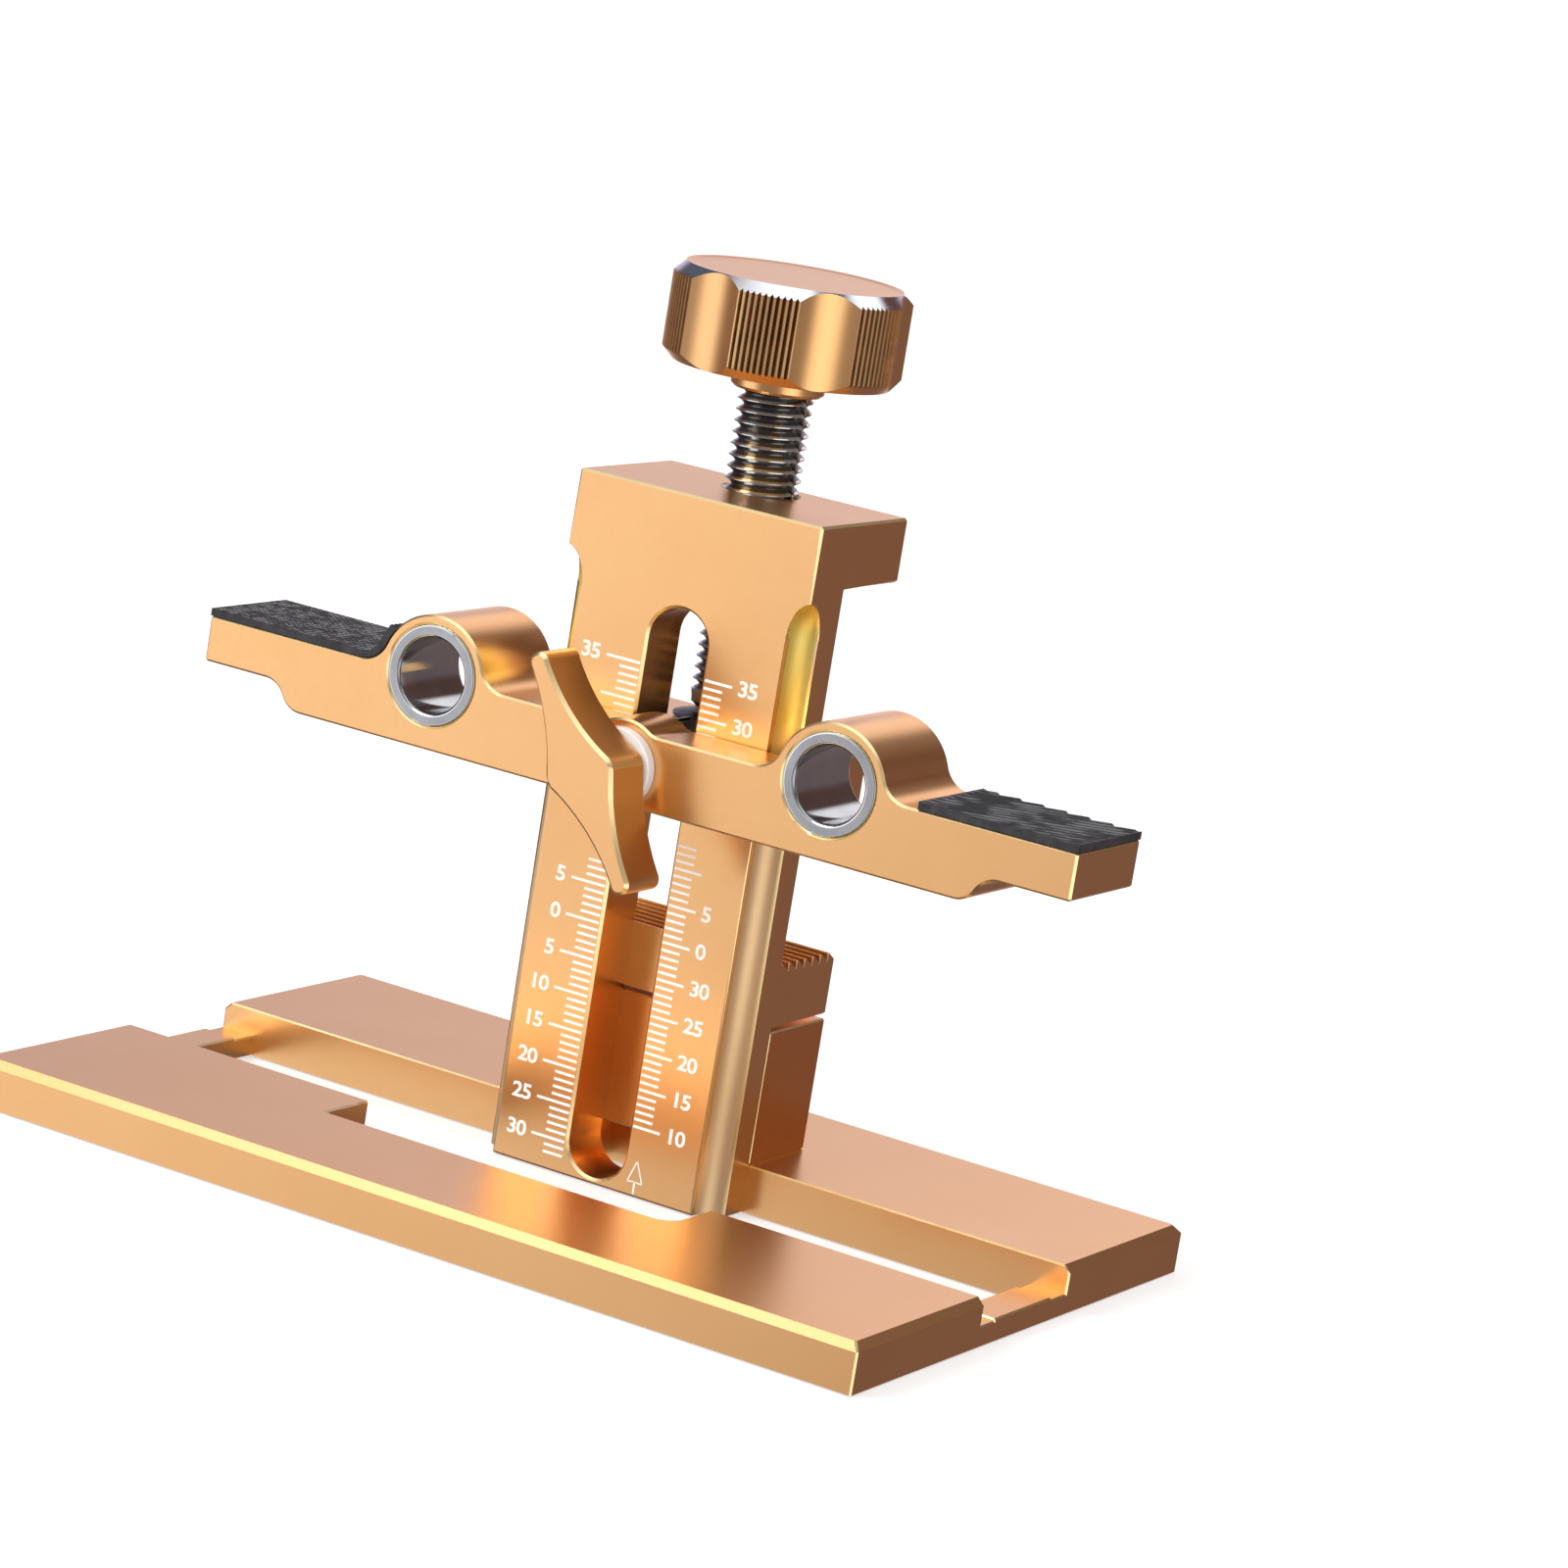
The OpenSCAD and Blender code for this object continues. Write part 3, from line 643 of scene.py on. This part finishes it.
def scale_marks():
    """Millimetre rules on both sides of the slot, numbered every 5 mm, and an outlined arrow.

    Each rule has a gap in the middle, and the numbers under the right zero run upwards again.
    """
    bm = bmesh.new()
    zero, tick_w, inner = 34.35, 0.36, 4.95
    right_labels = {35: "35", 30: "30", 5: "5", 0: "0", -5: "30", -10: "25", -15: "20", -20: "15",
                    -25: "10"}
    left_labels = {35: "35", 5: "5", 0: "0", -5: "5", -10: "10", -15: "15", -20: "20", -25: "25",
                   -30: "30"}
    for sign, lowest, gap, short, long, labels in ((1, -25, (14, 27), 7.75, 9.1, right_labels),
                                                   (-1, -32, (9, 27), 8.0, 10.15, left_labels)):
        for mm in range(lowest, 36):
            if gap[0] <= mm <= gap[1]:
                continue
            z = zero + mm
            reach = long if mm % 5 == 0 else short
            stroke(bm, (sign * inner, z), (sign * reach, z), tick_w)
            if mm in labels:
                numeral(bm, labels[mm], sign * (long + 0.85), z, "LEFT" if sign > 0 else "RIGHT")
    arrow_tip, left, right, neck = (6.45, 4.9), (5.35, 1.95), (7.65, 1.95), (6.5, 2.1)
    for p, q in ((arrow_tip, left), (arrow_tip, right), (left, neck), (right, neck)):
        stroke(bm, p, q, 0.17)
    stroke(bm, neck, (6.5, 0.45), 0.27)
    mesh = bpy.data.meshes.new("scale_marks")
    bm.to_mesh(mesh)
    bm.free()
    add_piece("scale_marks", mesh, "root", [PAINT])


# ---- everything, piece by piece

def column_tight(middle):
    """The jaw's teeth and the pointed ends of the coves."""
    tooth = middle.y > FRONT + 8.3 and 32 < middle.z < 34.2
    return tooth or (77 < middle.z < 82.6 and abs(middle.x) > 14 and middle.y < FRONT + 5)


def slot_rear(middle):
    """Edges on the column's back, and along its bottom."""
    return abs(middle.y - FRONT - 8.2) < 0.1 and middle.z < 83 or middle.z < 0.4


def in_cove(middle, normal):
    """Faces of the two long coves, which look forwards and outwards at once."""
    return abs(middle.x) > 14.8 and FRONT < middle.y < FRONT + 4 and normal.y < 0.98 and \
        abs(abs(normal.x) - 1) > 0.01 and abs(normal.y + 1) > 0.01 and middle.z > 1 and \
        middle.z < 83


def in_bore(middle, normal):
    """The walls of a bushing, as against its ends and its chamfers."""
    return abs(normal.y) < 0.2


softened("base_plate", 0.22, min_angle=50, crisp=lambda middle: middle.z < 0.1)
softened("riser_block", 0.22, extra=(GOLD_RISER_SHADE, lambda middle, normal: True))
softened("column", 0.34, crisp=slot_rear, tight=column_tight, extra=(GOLD_COVE_SHEEN, in_cove))
softened("guide_bar", 0.3)
softened("wing_lever", 0.45)
softened("foot_plate", 0.25)
softened("washer", 0.15, NYLON)
softened("left_bushing", 0.12, BUSHING_RIM_HIGHLIGHT, extra=(BUSHING_BORE, in_bore))
softened("right_bushing", 0.12, BUSHING_RIM_HIGHLIGHT, extra=(BUSHING_BORE, in_bore))
clamp_screw()
clamp_knob()
left_pad()
right_pad()
scale_marks()

for kept in ("base_screws", "riser_screws", "bushing_screws", "slot_key", "cone_nut", "lever_stud",
             "knob_screw", "foot_disc", "foot_clip"):
    NODES[kept].data.materials.clear()
    NODES[kept].data.materials.append(SLOT_MATERIAL[slot_of_node(kept)])


# ---------------------------------------------------------------- studio

def make_floor():
    """A plain pale floor that metal does not mirror."""
    mesh = bpy.data.meshes.new("floor")
    half = 9.0
    mesh.from_pydata([(-half, -half, -0.0002), (half, -half, -0.0002), (half, half, -0.0002),
                      (-half, half, -0.0002)], [], [(0, 1, 2, 3)])
    floor = bpy.data.objects.new("floor", mesh)
    bpy.context.scene.collection.objects.link(floor)
    mat = new_material("pale_floor", (0.5, 0.5, 0.5), 0.0, 0.8, Emission_Color=(1, 1, 1, 1),
                       Emission_Strength=0.55)
    tint(mat, noise(mat, 3), (0.49, 0.49, 0.49), (0.51, 0.51, 0.51))
    mesh.materials.append(mat)
    floor.visible_glossy = False


def make_light(name, place, size, power):
    """A soft square lamp that faces the middle of the object."""
    data = bpy.data.lights.new(name, "AREA")
    data.size = size
    data.energy = power
    lamp = bpy.data.objects.new(name, data)
    lamp.location = place
    lamp.rotation_mode = "QUATERNION"
    aim = Vector((0, 0, 0.05)) - Vector(place)
    lamp.rotation_quaternion = aim.to_track_quat("-Z", "Y")
    bpy.context.scene.collection.objects.link(lamp)


def seen_from_camera(turn, elevation):
    """The direction that far round to the right from the camera's own side, in degrees."""
    round_, up = math.radians(turn - 61.5), math.radians(elevation)
    return (math.cos(round_) * math.cos(up), math.sin(round_) * math.cos(up), math.sin(up))


# soft patches of the studio that the metal reflects: turn, elevation, radius of the full colour,
# radius where it ends (degrees), colour
PATCHES = (
    (0, 90, 22, 62, (1.40, 1.38, 1.38)),       # ceiling
    (0, -90, 35, 66, (0.10, 0.07, 0.05)),      # dark table beyond the object
    (180, 6, 62, 96, (0.20, 0.13, 0.13)),     # dark back of the room
    (138, 27, 10, 26, (0.12, 0.06, 0.05)),     # dark door beside the window
    (178, 9, 14, 34, (0.62, 0.56, 0.72)),      # cool window at the back
    (168, 28, 6, 17, (1.25, 1.08, 1.10)),      # its bright top corner
    (180, -10, 10, 22, (1.30, 1.15, 1.15)),    # its bright sill
    (-71, 0, 12, 28, (1.38, 1.30, 1.34)),      # large window on the left
    (36, -6, 12, 28, (1.60, 1.50, 1.42)),      # lamp on the right
    (90, 62, 8, 20, (0.16, 0.17, 0.20)),       # two dark rafters
    (-137, 32, 14, 30, (0.10, 0.11, 0.14)),
    (119, 48, 6, 18, (1.3, 1.3, 1.33)),
)


def make_world():
    """Plain white to the camera and to matt surfaces, and a studio of soft patches to shiny ones."""
    world = bpy.data.worlds.new("studio")
    bpy.context.scene.world = world
    world.use_nodes = True
    nodes, links = world.node_tree.nodes, world.node_tree.links
    nodes.clear()
    where = nodes.new("ShaderNodeTexCoord")
    colour = None
    for turn, elevation, full, end, patch in PATCHES:
        dot = nodes.new("ShaderNodeVectorMath")
        dot.operation = "DOT_PRODUCT"
        links.new(where.outputs["Generated"], dot.inputs[0])
        dot.inputs[1].default_value = seen_from_camera(turn, elevation)
        ramp = nodes.new("ShaderNodeMapRange")
        ramp.interpolation_type = "SMOOTHSTEP"
        ramp.inputs["From Min"].default_value = math.cos(math.radians(end))
        ramp.inputs["From Max"].default_value = math.cos(math.radians(full))
        links.new(dot.outputs["Value"], ramp.inputs["Value"])
        mix = nodes.new("ShaderNodeMixRGB")
        links.new(ramp.outputs["Result"], mix.inputs["Fac"])
        mix.inputs["Color2"].default_value = (*patch, 1)
        if colour:
            links.new(colour, mix.inputs["Color1"])
        else:
            mix.inputs["Color1"].default_value = (0.31, 0.26, 0.26, 1)
        colour = mix.outputs["Color"]

    studio = nodes.new("ShaderNodeBackground")
    links.new(colour, studio.inputs["Color"])
    seen = nodes.new("ShaderNodeBackground")
    seen.inputs["Color"].default_value = (1, 1, 1, 1)
    path = nodes.new("ShaderNodeLightPath")
    plain = calc(world.node_tree, "MAXIMUM", path.outputs["Is Camera Ray"], path.outputs["Is Diffuse Ray"])
    mix = nodes.new("ShaderNodeMixShader")
    links.new(plain, mix.inputs["Fac"])
    links.new(studio.outputs[0], mix.inputs[1])
    links.new(seen.outputs[0], mix.inputs[2])
    out = nodes.new("ShaderNodeOutputWorld")
    links.new(mix.outputs[0], out.inputs["Surface"])


make_floor()
make_world()
make_light("key", (-0.6, -0.9, 0.9), 0.6, 9)
bpy.context.scene.view_settings.view_transform = "Standard"
